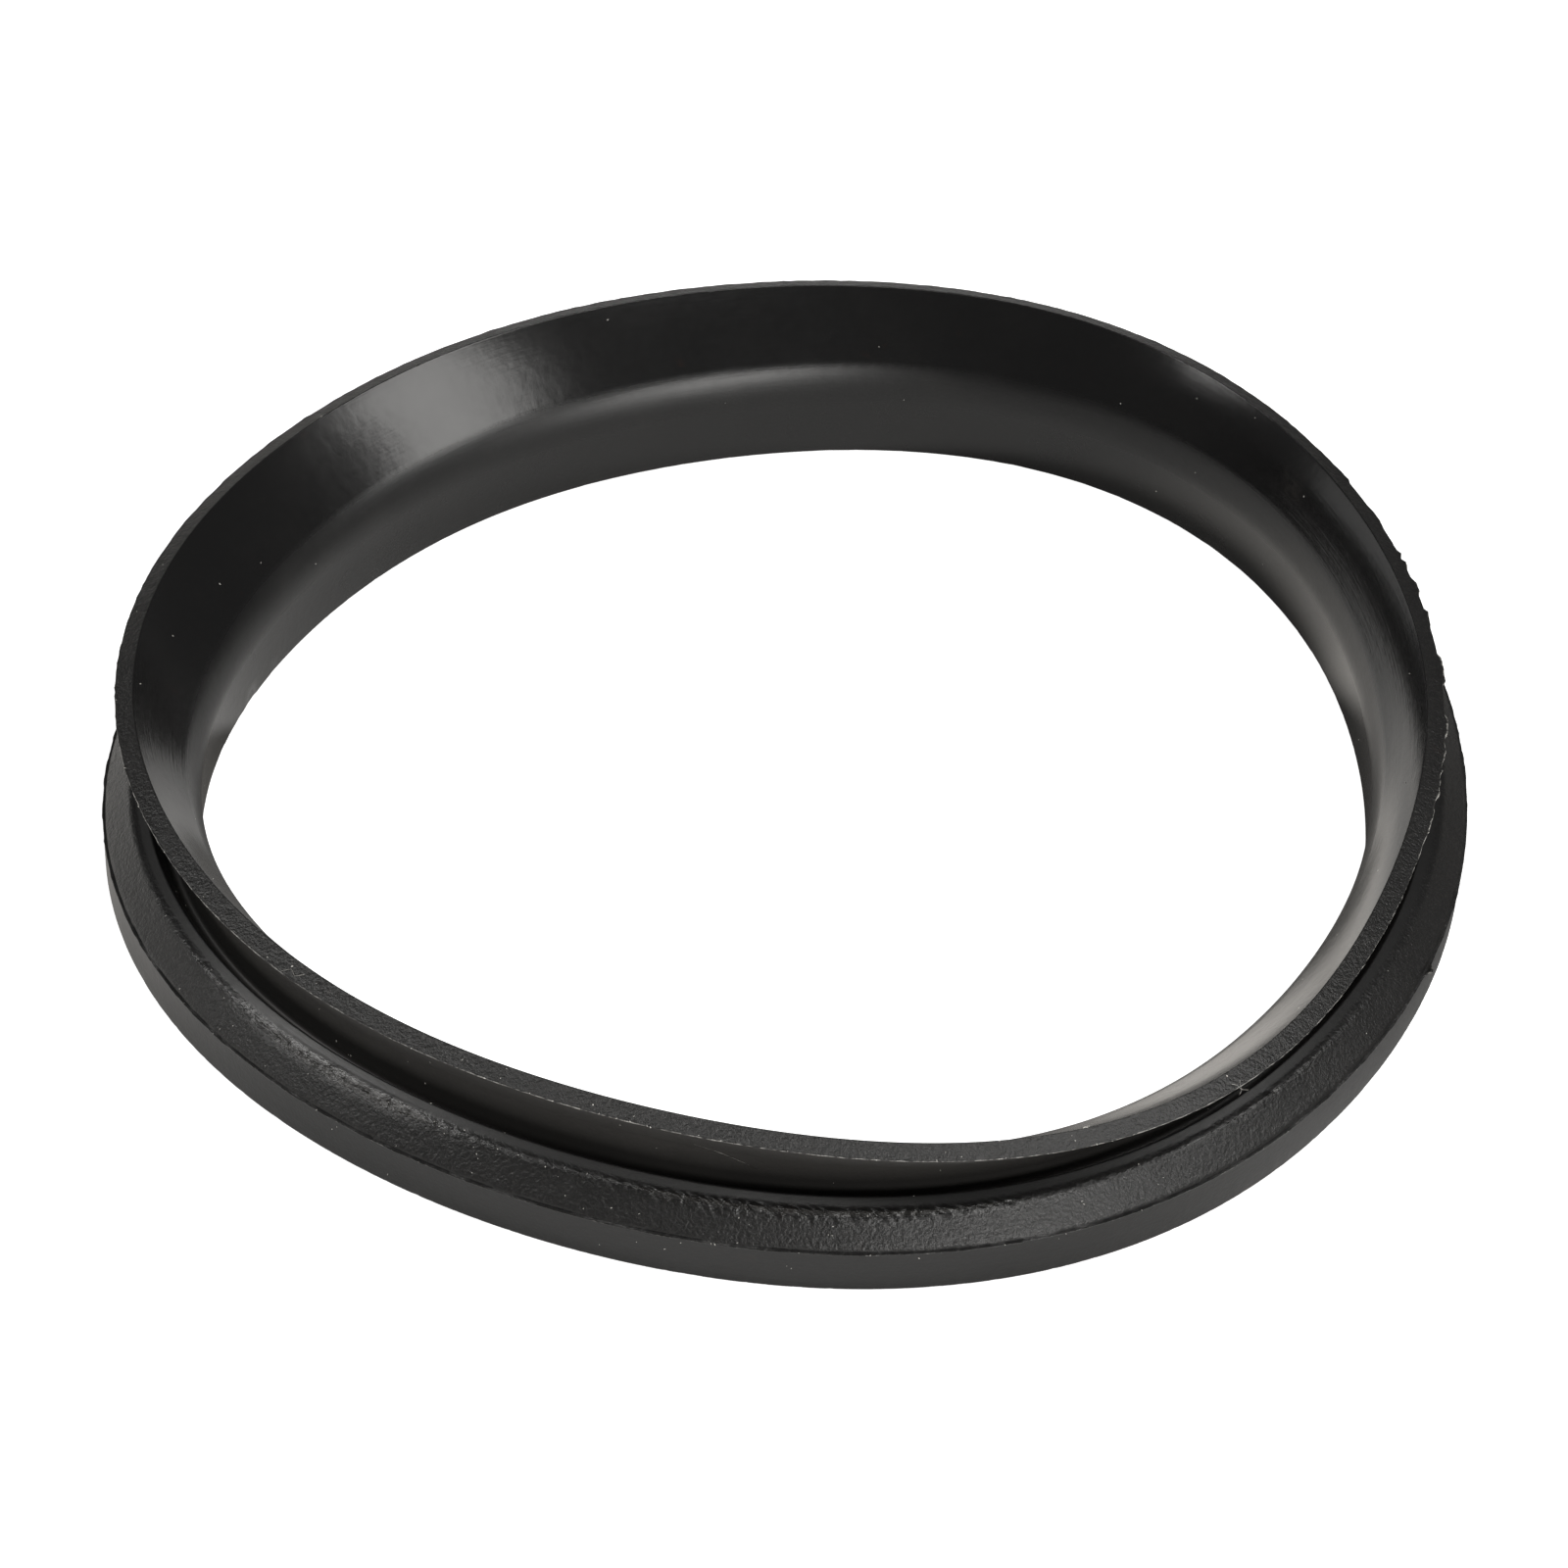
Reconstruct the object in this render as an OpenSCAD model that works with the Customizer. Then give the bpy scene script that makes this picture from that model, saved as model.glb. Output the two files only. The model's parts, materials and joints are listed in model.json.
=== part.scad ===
// Axial sealing ring of one piece of moulded black rubber: a body that grips a shaft by its bore,
// and a thin conical lip that leans outwards above a V groove. It lies on its flat back face.
// All lengths are in millimetres. The origin is the centre of the back face, and +Z is the ring's axis.

/* [Bore] */
// Diameter of the bore, unstretched
bore_d = 146; // [60:1:400]
// Height at which the bore would meet the cone inside the lip, were the throat sharp
throat_h = 11.1; // [9.5:0.1:12.5]
// Radius of the soft throat between the bore and that cone
throat_round = 6; // [1:0.5:9]

/* [Body] */
// Radial width of the body at its back face
body_w = 12; // [11:0.1:15]
// Height of the outer wall, from the back face to the parting line
wall_h = 6; // [3:0.1:8]
// How far the outer wall leans out by the time it reaches the parting line
wall_draft = 0.3; // [0:0.05:1]
// Radius of the crisp corner at the parting line
parting_round = 0.15; // [0.05:0.05:1]
// Radius of the two edges of the back face
foot_round = 0.3; // [0.1:0.05:1]

/* [Shoulder] */
// Height of the shoulder, where the chamfer above the parting line ends
shoulder_h = 9.9; // [9:0.1:10.2]
// Radial distance from the parting line in to the shoulder
shoulder_inset = 3.5; // [1.5:0.1:4.2]
// Radius of the shoulder
shoulder_round = 0.5; // [0.1:0.1:0.7]
// Radial width of the shallow cove between the shoulder and the rim
cove_w = 0.6; // [0.5:0.1:0.9]
// Radius of the cove
cove_round = 0.4; // [0.1:0.1:0.5]

/* [Groove] */
// Height of the groove's outer rim, before it is rounded
rim_h = 10.8; // [10.6:0.1:12]
// Radial distance from the cove in to the rim
rim_w = 0.9; // [0.7:0.1:1.2]
// Radius of the rim
rim_round = 0.5; // [0.1:0.1:0.6]
// Radial width of the neck between the bore and the groove
neck_w = 4.4; // [3:0.1:5]
// Height at which the groove's two sides would meet, were its floor sharp
groove_h = 6; // [4:0.1:7.5]
// Radius of the groove's floor
groove_round = 0.6; // [0.3:0.1:0.8]

/* [Lip] */
// Height of the ring over the lip's tip
lip_h = 21.2; // [18:0.1:26]
// How far the lip's inner edge stands out from the bore
lip_reach = 8; // [7:0.1:10]
// Radial width of the land at the lip's tip
land_w = 2.1; // [1.4:0.1:2.6]
// How much lower the land's outer edge is than its inner edge
land_drop = 0.55; // [0:0.05:1]
// Height at which the back of the lip bends outwards
bend_h = 13.2; // [12:0.1:14.5]
// How far that bend stands out from the neck
bend_out = 0.2; // [0:0.1:1]
// Radius of that bend
bend_round = 8; // [2:0.5:10]
// Radius of the lip's two edges
tip_round = 0.12; // [0.05:0.01:0.3]

/* [Hidden] */
bore_r = bore_d / 2;
wall_r = bore_r + body_w;
parting_r = wall_r + wall_draft;
shoulder_r = parting_r - shoulder_inset;
cove_r = shoulder_r - cove_w;
rim_r = cove_r - rim_w;
neck_r = bore_r + neck_w;
lip_r = bore_r + lip_reach;
// Straight pieces in each rounded corner of the section
arc_steps = 8;
// Smoothness of the ring around its axis
ring_fn = 240;

function unit(v) = v / norm(v);

// A vector turned anticlockwise by an angle
function turned(v, angle) = [v.x * cos(angle) - v.y * sin(angle), v.x * sin(angle) + v.y * cos(angle)];

// The arc that rounds the corner at p, on the way from a to b, as a list of points
function rounded(a, p, b, radius) =
    let (
        to_a = unit(a - p),
        to_b = unit(b - p),
        half_angle = acos(to_a * to_b) / 2,
        centre = p + unit(to_a + to_b) * radius / sin(half_angle),
        spoke = p + to_a * radius / tan(half_angle) - centre,
        sweep = -sign(cross(to_a, to_b)) * (180 - 2 * half_angle)
    )
    [for (i = [0:arc_steps]) centre + turned(spoke, sweep * i / arc_steps)];

// A closed outline whose corners are each given as a point and the radius that rounds it
function rounded_outline(corners) =
    let (last = len(corners) - 1)
    [
        for (i = [0:last])
            each rounded(
                corners[i == 0 ? last : i - 1][0],
                corners[i][0],
                corners[i == last ? 0 : i + 1][0],
                corners[i][1]
            )
    ];

// The ring's section: each corner is a point, given as radius and height, and the radius that rounds it
SECTION = [
    [[bore_r, 0], foot_round],
    [[wall_r, 0], foot_round],
    [[parting_r, wall_h], parting_round],
    [[shoulder_r, shoulder_h], shoulder_round],
    [[cove_r, shoulder_h], cove_round],
    [[rim_r, rim_h], rim_round],
    [[neck_r, groove_h], groove_round],
    [[neck_r + bend_out, bend_h], bend_round],
    [[lip_r + land_w, lip_h - land_drop], tip_round],
    [[lip_r, lip_h], tip_round],
    [[bore_r, throat_h], throat_round]
];

module sealing_ring() {
    color([0.06, 0.06, 0.062])
        rotate_extrude($fn = ring_fn)
            polygon(rounded_outline(SECTION));
}

sealing_ring();
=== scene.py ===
"""The looks of a one-piece rubber sealing ring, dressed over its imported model.

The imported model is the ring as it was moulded: perfectly round. Here the ring lies on its back face as soft
rubber does after a time in a bag, a little out of round. It has the ragged flash of its mould, the folds that
the rubber left as it flowed over the shoulder, its matt and its smooth faces, and the dust that it picked up.
"""

import json
import logging
import math
import sys
from dataclasses import dataclass
from enum import Enum

import bpy
from mathutils import Matrix, Vector


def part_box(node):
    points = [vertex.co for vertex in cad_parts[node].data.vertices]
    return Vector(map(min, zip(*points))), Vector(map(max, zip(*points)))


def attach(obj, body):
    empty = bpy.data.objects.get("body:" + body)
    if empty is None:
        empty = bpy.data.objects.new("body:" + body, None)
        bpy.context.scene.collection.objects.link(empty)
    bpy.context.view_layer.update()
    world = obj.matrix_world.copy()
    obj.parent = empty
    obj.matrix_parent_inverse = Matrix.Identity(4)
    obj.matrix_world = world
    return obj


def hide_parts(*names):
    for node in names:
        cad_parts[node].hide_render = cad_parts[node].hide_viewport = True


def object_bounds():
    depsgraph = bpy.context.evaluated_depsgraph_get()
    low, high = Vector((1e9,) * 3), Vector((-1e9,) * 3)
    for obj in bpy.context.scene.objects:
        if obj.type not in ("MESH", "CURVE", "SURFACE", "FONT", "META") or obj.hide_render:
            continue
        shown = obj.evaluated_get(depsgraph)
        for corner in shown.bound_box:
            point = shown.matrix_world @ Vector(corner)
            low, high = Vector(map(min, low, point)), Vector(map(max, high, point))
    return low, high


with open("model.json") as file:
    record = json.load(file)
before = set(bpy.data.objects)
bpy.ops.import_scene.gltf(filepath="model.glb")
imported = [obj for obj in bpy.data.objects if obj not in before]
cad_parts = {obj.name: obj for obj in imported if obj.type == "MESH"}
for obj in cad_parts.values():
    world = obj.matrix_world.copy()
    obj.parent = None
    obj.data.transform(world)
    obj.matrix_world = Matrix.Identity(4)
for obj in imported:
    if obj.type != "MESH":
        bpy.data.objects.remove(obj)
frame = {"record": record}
CAD_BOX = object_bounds()

LOG = logging.getLogger("sealing_ring")
NODE = "sealing_ring"
MM = 0.001
TURN = 2.0 * math.pi

Colour = tuple[float, float, float]
# Where a ramp begins and ends, and then, if not 0 and 1, what it gives up to there and from there
Slope = tuple[float, ...]


def eased(share: float) -> float:
    """A share from 0 to 1, made to start and end gently."""
    return share * share * (3.0 - 2.0 * share)


def falling(away: float, reach: float) -> float:
    """1 at a place, falling evenly to 0 at a reach from it."""
    return max(1.0 - away / reach, 0.0)


def new_object(name: str, data: bpy.types.ID) -> bpy.types.Object:
    """Makes an object at the origin of the scene.

    Args:
        name: Its name.
        data: Its mesh, lamp or camera.

    Returns:
        The object, linked to the scene.
    """
    made = bpy.data.objects.new(name, data)
    bpy.context.scene.collection.objects.link(made)
    return made


class Skin(Enum):
    """How the mould left a face: how matt it is, and how grained, each from 0 to 1."""

    BACK_FACE = (0.6, 0.4)
    WALL = (0.42, 0.18)
    CHAMFER = (0.38, 1.0)
    SHOULDER = (0.36, 0.6)
    RIM = (0.5, 0.12)
    # The matt of the groove and of the lip's back also lifts their colour through the rubber's matt bloom,
    # partly as painted light
    GROOVE = (0.72, 0.1)
    LIP_BACK = (0.9, 0.1)
    LAND = (0.4, 1.0)
    CONE = (0.0, 0.0)
    BORE = (0.16, 0.12)


@dataclass(frozen=True)
class Lobe:
    """One wave of the ring's out-of-round shape.

    Attributes:
        count: How many times the wave rises on the way round.
        height: How far it rises from the mean, in metres.
        facing: The angle from the front at which it rises most, in degrees towards the right.
    """

    count: int
    height: float
    facing: float

    def rise(self, angle: float) -> float:
        """How far the wave stands out at an angle, in radians from the front."""
        return self.height * math.cos(self.count * (angle - math.radians(self.facing)))


@dataclass(frozen=True)
class Stretch:
    """A stretch of the way round the ring.

    Attributes:
        facing: The angle of its middle from the front, in degrees towards the right.
        reach: How far it reaches to either side, in degrees.
    """

    facing: float
    reach: float


@dataclass(frozen=True)
class Dent(Stretch):
    """A stretch where the ring lies a little further out, or in, than its waves say.

    Attributes:
        height: How far out it pushes the ring in its middle, in metres.
    """

    height: float

    def rise(self, angle: float) -> float:
        """How far the dent stands out at an angle, in radians from the front."""
        away = abs(math.remainder(angle - math.radians(self.facing), TURN))
        return self.height * eased(falling(away, math.radians(self.reach)))


@dataclass(frozen=True)
class Pattern:
    """Noise over a surface.

    Attributes:
        size: The size of its largest features, in metres.
        layers: How many finer layers it has.
        strength: How strong those layers are.
        slope: The ramp over which the noise is spread, where it is.
    """

    size: float
    layers: float = 2.0
    strength: float = 0.5
    slope: Slope = ()


@dataclass(frozen=True)
class Corner:
    """A corner of the section, and the face that leads on from it.

    Attributes:
        radius: Distance from the axis, in metres.
        height: Height over the floor, in metres.
        rounding: Radius that rounds the corner, in metres.
        steps: Straight pieces in the rounding.
        skin: Finish of the face that follows.
        parts: Pieces into which that face is divided, besides the narrow one at each end.
        haze: How much more matt the rounding is in its middle, from 0 to 1.
    """

    radius: float
    height: float
    rounding: float
    steps: int
    skin: Skin
    parts: int
    haze: float = 0.0

    def place(self) -> Vector:
        """The corner as (radius, 0, height)."""
        return Vector((self.radius, 0.0, self.height))


@dataclass(frozen=True)
class SectionPoint:
    """A point of the finished section.

    Attributes:
        place: Its (radius, 0, height).
        matt: How matt the ring is there.
        grain: How grained the ring is there.
        corner: The number of the corner that it belongs to.
        on_arc: From 0 to 1 on the corner's arc, and more than 1 on the face that follows.
    """

    place: Vector
    matt: float
    grain: float
    corner: int
    on_arc: float


class Field:
    """A number or a direction that varies over a surface: a socket that can be added and multiplied."""

    def __init__(self, bench: "Bench", socket: bpy.types.NodeSocket) -> None:
        """Keeps the socket and the bench that joins it."""
        self.bench = bench
        self.socket = socket

    def __add__(self, other: "Field | float") -> "Field":
        """The sum of two fields."""
        return self.bench.math("ADD", self, other)

    def __radd__(self, other: float) -> "Field":
        """The sum of a number and this field."""
        return self.bench.math("ADD", other, self)

    def __sub__(self, other: "Field | float") -> "Field":
        """This field less another."""
        return self.bench.math("SUBTRACT", self, other)

    def __rsub__(self, other: float) -> "Field":
        """A number less this field."""
        return self.bench.math("SUBTRACT", other, self)

    def __mul__(self, other: "Field | float") -> "Field":
        """The product of two fields."""
        return self.bench.math("MULTIPLY", self, other)

    def __truediv__(self, other: "Field | float") -> "Field":
        """This field divided by another."""
        return self.bench.math("DIVIDE", self, other)


# Angle from the front, and then distance from the axis
Polar = tuple[Field, Field]


class Bench:
    """Sets up the nodes of one tree and joins them, alike for geometry and for materials."""

    COLUMN = 170
    ROWS = 12
    MIX_FIRST, MIX_SECOND, MIX_RESULT = 6, 7, 2
    NOISE_MEAN = 0.5
    NOISE_GAIN = 2.6

    def __init__(self, tree: bpy.types.NodeTree) -> None:
        """Keeps the tree that the nodes go into."""
        self.tree = tree

    def node(self, kind: str, inputs: dict | None = None, **settings: object) -> bpy.types.Node:
        """Adds a node.

        Args:
            kind: The node's type.
            inputs: What each input gets, by its name or number: a Field or a plain value.
            **settings: The node's own options.

        Returns:
            The new node.
        """
        count = len(self.tree.nodes)
        node = self.tree.nodes.new(kind)
        node.location = (self.COLUMN * (count // self.ROWS), -self.COLUMN * (count % self.ROWS))
        for name, value in settings.items():
            setattr(node, name, value)
        for name, value in (inputs or {}).items():
            self.feed(self.socket(node.inputs, name), value)
        return node

    def socket(self, sockets: bpy.types.bpy_prop_collection, name: str | int) -> bpy.types.NodeSocket:
        """Finds a socket.

        Args:
            sockets: A node's inputs or outputs.
            name: The socket's name, or its number.

        Returns:
            The shown socket of that name, or the socket of that number.
        """
        if isinstance(name, int):
            return sockets[name]
        return next(s for s in sockets if s.name == name and s.enabled)

    def feed(self, socket: bpy.types.NodeSocket, value: object) -> None:
        """Joins a field to an input, or sets it to a plain value.

        Args:
            socket: The input.
            value: A Field or a plain value.
        """
        if isinstance(value, Field):
            self.tree.links.new(value.socket, socket)
        else:
            socket.default_value = value

    def out(self, node: bpy.types.Node, name: str | int = 0) -> Field:
        """A node's output as a field."""
        return Field(self, self.socket(node.outputs, name))

    def made(self, kind: str, inputs: dict | None = None, **settings: object) -> Field:
        """Adds a node, as node() does, and gives its first output as a field."""
        return self.out(self.node(kind, inputs, **settings))

    def math(self, operation: str, *terms: "Field | float") -> Field:
        """The result of a Math node on one to three terms."""
        return self.made("ShaderNodeMath", dict(enumerate(terms)), operation=operation)

    def vector(self, *parts: "Field | float") -> Field:
        """A vector of three fields."""
        return self.made("ShaderNodeCombineXYZ", dict(enumerate(parts)))

    def parts(self, vector: Field) -> tuple[Field, ...]:
        """The three parts of a vector field."""
        node = self.node("ShaderNodeSeparateXYZ", {0: vector})
        return tuple(self.out(node, number) for number in range(3))

    def named(self, name: str, kind: str = "FLOAT_VECTOR") -> Field:
        """A named attribute of the geometry that a tree works on."""
        return self.made("GeometryNodeInputNamedAttribute", {"Name": name}, data_type=kind)

    def painted(self, name: str) -> Field:
        """A named vector attribute of the mesh that a material dresses."""
        return self.out(self.node("ShaderNodeAttribute", attribute_name=name), "Vector")

    def radius(self, x: Field, y: Field) -> Field:
        """Distance from the axis."""
        return self.math("SQRT", x * x + y * y)

    def angle(self, x: Field, y: Field) -> Field:
        """Angle round the axis from the front towards the right, in radians."""
        return self.math("ARCTAN2", x, 0.0 - y)

    def ramp(self, value: Field, low: float, high: float, start: float = 0.0, end: float = 1.0) -> Field:
        """Goes smoothly from start to end while a value goes from low to high.

        Args:
            value: The field that is read.
            low: Where the ramp begins.
            high: Where it ends.
            start: What it gives up to low.
            end: What it gives from high.

        Returns:
            The ramp as a field.
        """
        inputs = {0: value, 1: low, 2: high, 3: start, 4: end}
        return self.made("ShaderNodeMapRange", inputs, interpolation_type="SMOOTHSTEP")

    def noise(self, at: Field, pattern: Pattern) -> Field:
        """Noise from about -1 to 1.

        Args:
            at: Where it is read, in metres.
            pattern: How it looks.

        Returns:
            The noise as a field.
        """
        scale, layers, strength = 1.0 / pattern.size, pattern.layers, pattern.strength
        inputs = {"Vector": at, "Scale": scale, "Detail": layers, "Roughness": strength}
        return (self.made("ShaderNodeTexNoise", inputs) - self.NOISE_MEAN) * self.NOISE_GAIN

    def spread(self, at: Field, pattern: Pattern) -> Field:
        """Noise that is spread over its pattern's slope."""
        return self.ramp(self.noise(at, pattern), *pattern.slope)

    def near(self, angle: Field, stretch: Stretch) -> Field:
        """1 in the middle of a stretch of the way round, falling smoothly to 0 at its ends."""
        turned = self.math("WRAP", angle - math.radians(stretch.facing), math.pi, -math.pi)
        return self.ramp(self.math("ABSOLUTE", turned), 0.0, math.radians(stretch.reach), 1.0, 0.0)

    def mix(self, share: Field, first: "Field | Colour", second: "Field | Colour") -> Field:
        """Mixes two colours.

        Args:
            share: How much of the second there is, from 0 to 1.
            first: The first colour.
            second: The second colour.

        Returns:
            The mixed colour.
        """
        node = self.node("ShaderNodeMix", {0: share}, data_type="RGBA")
        for number, colour in ((self.MIX_FIRST, first), (self.MIX_SECOND, second)):
            self.feed(node.inputs[number], colour if isinstance(colour, Field) else (*colour, 1.0))
        return self.out(node, self.MIX_RESULT)

    def surface(self, inputs: dict) -> None:
        """Ends a material with a principled surface.

        Args:
            inputs: What the surface's inputs get.
        """
        shader = self.made("ShaderNodeBsdfPrincipled", inputs)
        self.node("ShaderNodeOutputMaterial", {"Surface": shader})


def new_material(name: str) -> tuple[bpy.types.Material, Bench]:
    """Makes an empty material.

    Args:
        name: Its name.

    Returns:
        The material, and then the bench on which its nodes are set up.
    """
    material = bpy.data.materials.new(name)
    material.use_nodes = True
    material.node_tree.nodes.clear()
    return material, Bench(material.node_tree)


@dataclass(frozen=True)
class RingSection:
    """The section of the ring as moulded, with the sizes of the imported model, in metres."""

    bore_radius: float
    height: float
    parting_out: float = 12.3 * MM
    wall_height: float = 6.0 * MM
    wall_draft: float = 0.3 * MM
    foot_round: float = 0.3 * MM
    parting_round: float = 0.15 * MM
    shoulder_height: float = 9.75 * MM
    shoulder_inset: float = 3.3 * MM
    shoulder_round: float = 1.5 * MM
    cove_width: float = 0.85 * MM
    cove_rise: float = 0.28 * MM
    cove_round: float = 2.0 * MM
    rim_height: float = 10.65 * MM
    rim_width: float = 1.1 * MM
    rim_round: float = 0.2 * MM
    neck_width: float = 4.4 * MM
    groove_height: float = 6.0 * MM
    groove_round: float = 0.6 * MM
    bend_height: float = 13.2 * MM
    bend_out: float = 0.2 * MM
    bend_round: float = 8.0 * MM
    lip_reach: float = 8.0 * MM
    land_width: float = 2.3 * MM
    land_drop: float = 0.95 * MM
    tip_round: float = 0.12 * MM
    throat_height: float = 11.1 * MM
    throat_round: float = 9.0 * MM
    throat_haze: float = 0.5
    support: float = 0.12 * MM
    fold_reach_down: float = 1.9 * MM
    fold_reach_in: float = 0.7 * MM
    slump_reach_down: float = 1.5 * MM
    slump_reach_in: float = 1.1 * MM
    crease_from_fin: float = 0.22 * MM
    crease_reach: float = 0.20 * MM
    crease_rows: tuple[float, ...] = (0.07 * MM, 0.15 * MM, 0.22 * MM, 0.29 * MM, 0.38 * MM)

    WALL_FOOT, PARTING, SHOULDER = 1, 2, 3
    BEND, LIP_EDGE = 7, 8

    def outer_radius(self) -> float:
        """The radius of the parting line, which is the ring's widest place."""
        return self.bore_radius + self.parting_out

    def corners(self) -> list[Corner]:
        """The section's corners, from the bore's foot outwards and round over the lip.

        Returns:
            The corners in order, seen with the axis on the left.
        """
        bore, parting = self.bore_radius, self.outer_radius()
        shoulder = parting - self.shoulder_inset
        cove = shoulder - self.cove_width
        rim = cove - self.rim_width
        neck, lip = bore + self.neck_width, bore + self.lip_reach
        cove_height = self.shoulder_height + self.cove_rise
        edge_height = self.height - self.land_drop
        return [
            Corner(bore, 0.0, self.foot_round, 3, Skin.BACK_FACE, 2),
            Corner(parting - self.wall_draft, 0.0, self.foot_round, 3, Skin.WALL, 3),
            Corner(parting, self.wall_height, self.parting_round, 4, Skin.CHAMFER, 11),
            Corner(shoulder, self.shoulder_height, self.shoulder_round, 7, Skin.SHOULDER, 1),
            Corner(cove, cove_height, self.cove_round, 3, Skin.RIM, 2),
            Corner(rim, self.rim_height, self.rim_round, 4, Skin.GROOVE, 2),
            Corner(neck, self.groove_height, self.groove_round, 5, Skin.GROOVE, 1),
            Corner(neck + self.bend_out, self.bend_height, self.bend_round, 8, Skin.LIP_BACK, 2),
            Corner(lip + self.land_width, edge_height, self.tip_round, 4, Skin.LAND, 2),
            Corner(lip, self.height, self.tip_round, 3, Skin.CONE, 4),
            Corner(bore, self.throat_height, self.throat_round, 8, Skin.BORE, 3, self.throat_haze),
        ]

    def points(self) -> list[SectionPoint]:
        """The closed section as points: each corner's arc, and then the face that follows it.

        Returns:
            The points in order.
        """
        corners = self.corners()
        arcs = [self._arc(corners[i - 1], c, corners[(i + 1) % len(corners)]) for i, c in enumerate(corners)]
        points = []
        for i, corner in enumerate(corners):
            before, after = corners[i - 1].skin.value, corner.skin.value
            for k, place in enumerate(arcs[i]):
                share = k / corner.steps
                matt, grain = (b + (a - b) * share for b, a in zip(before, after))
                matt += corner.haze * 4.0 * share * (1.0 - share)
                points.append(SectionPoint(place, matt, grain, i, share))
            points.extend(self._face(arcs[i][-1], arcs[(i + 1) % len(corners)][0], corner, i))
        return points

    def _face(self, start: Vector, end: Vector, corner: Corner, index: int) -> list[SectionPoint]:
        """The points of a straight face between two arcs.

        Args:
            start: End of the arc before.
            end: Start of the arc after.
            corner: The corner that the face follows.
            index: That corner's number.

        Returns:
            The points, which are close together near the arcs, to keep their shading there.
        """
        length = (end - start).length
        margin = min(self.support, length / 4.0) / length
        close = [row / length for row in self.crease_rows] if index == self.PARTING else [margin]
        rest = 1.0 - margin - close[-1]
        shares = close + [close[-1] + rest * k / corner.parts for k in range(1, corner.parts + 1)]
        return [SectionPoint(start.lerp(end, s), *corner.skin.value, index, 2.0 + s) for s in shares]

    @staticmethod
    def _arc(before: Corner, corner: Corner, after: Corner) -> list[Vector]:
        """The arc that rounds a corner.

        Args:
            before: The corner before it.
            corner: The corner.
            after: The corner after it.

        Returns:
            The arc's points as (radius, 0, height).
        """
        place, rounding, steps = corner.place(), corner.rounding, corner.steps
        back = (before.place() - place).normalized()
        on = (after.place() - place).normalized()
        half = back.angle(on) / 2.0
        centre = place + (back + on).normalized() * rounding / math.sin(half)
        first = place + back * rounding / math.tan(half) - centre
        last = place + on * rounding / math.tan(half) - centre
        return [centre + first.slerp(last, k / steps) * rounding for k in range(steps + 1)]


@dataclass(frozen=True)
class Lie:
    """How the soft ring lies: out of round, more so at the lip than at the body.

    Attributes:
        section: The ring's section.
        body: The waves of the body.
        lip: The waves of the lip's tip.
        body_dents: Where the body departs from its waves.
        lip_dents: Where the lip's tip departs from its waves.
        lip_from: Height at which the body's shape starts to give way to the lip's, in metres.
        fin_room: Room that is kept for the flash at the parting line, in metres.
        fit_steps: Places round the ring at which its reach is measured.
    """

    section: RingSection
    body: tuple[Lobe, ...] = (
        Lobe(2, 2.45 * MM, -41.4),
        Lobe(3, 2.07 * MM, 33.2),
        Lobe(4, 0.45 * MM, 34.9),
        Lobe(5, 0.32 * MM, 7.2),
        Lobe(6, 0.12 * MM, -26.7),
    )
    lip: tuple[Lobe, ...] = (
        Lobe(1, 1.05 * MM, -76.8),
        Lobe(2, 0.86 * MM, -14.6),
        Lobe(3, 2.70 * MM, 31.9),
        Lobe(4, 0.64 * MM, 30.2),
        Lobe(5, 0.36 * MM, 24.3),
        Lobe(6, 0.33 * MM, 30.0),
    )
    body_dents: tuple[Dent, ...] = (Dent(80.0, 32.0, 0.5 * MM),)
    lip_dents: tuple[Dent, ...] = (Dent(12.0, 28.0, -0.4 * MM),)
    lip_from: float = 9.5 * MM
    fin_room: float = 0.25 * MM
    fit_steps: int = 720

    def swell(self, angle: float, height: float) -> float:
        """How far the ring stands out from round.

        Args:
            angle: Angle from the front, in radians.
            height: Height over the floor, in metres.

        Returns:
            The distance outwards, in metres.
        """
        share = (height - self.lip_from) / (self.section.height - self.lip_from)
        body = sum(wave.rise(angle) for wave in (*self.body, *self.body_dents))
        lip = sum(wave.rise(angle) for wave in (*self.lip, *self.lip_dents))
        return body + (lip - body) * eased(min(max(share, 0.0), 1.0))

    def fit(self) -> tuple[float, Vector]:
        """How the bent ring is brought inside the box of the moulded one.

        Returns:
            The scale in the plane, which is close to 1, and then the shift of its centre.
        """
        outer = self.section.outer_radius() + self.fin_room
        xs, ys = [], []
        for step in range(self.fit_steps):
            angle = TURN * step / self.fit_steps
            radius = outer + self.swell(angle, self.section.wall_height)
            xs.append(radius * math.sin(angle))
            ys.append(-radius * math.cos(angle))
        low, high = CAD_BOX
        wide, deep = max(xs) - min(xs), max(ys) - min(ys)
        scale = min((high[0] - low[0]) / wide, (high[1] - low[1]) / deep, 1.0)
        middle = Vector(((max(xs) + min(xs)) / 2.0, (max(ys) + min(ys)) / 2.0, 0.0))
        centre = Vector(((low[0] + high[0]) / 2.0, (low[1] + high[1]) / 2.0, 0.0))
        return scale, centre - middle * scale

    def place(self, angle: float, radius: float, height: float) -> Vector:
        """Where a point of the moulded ring lies.

        Args:
            angle: Angle from the front, in degrees towards the right.
            radius: Its radius in the moulded ring, in metres.
            height: Its height, in metres.

        Returns:
            The place in the frame.
        """
        scale, shift = self.fit()
        turn = math.radians(angle)
        radius = (radius + self.swell(turn, height)) * scale
        return shift + Vector((radius * math.sin(turn), -radius * math.cos(turn), height))


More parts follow.
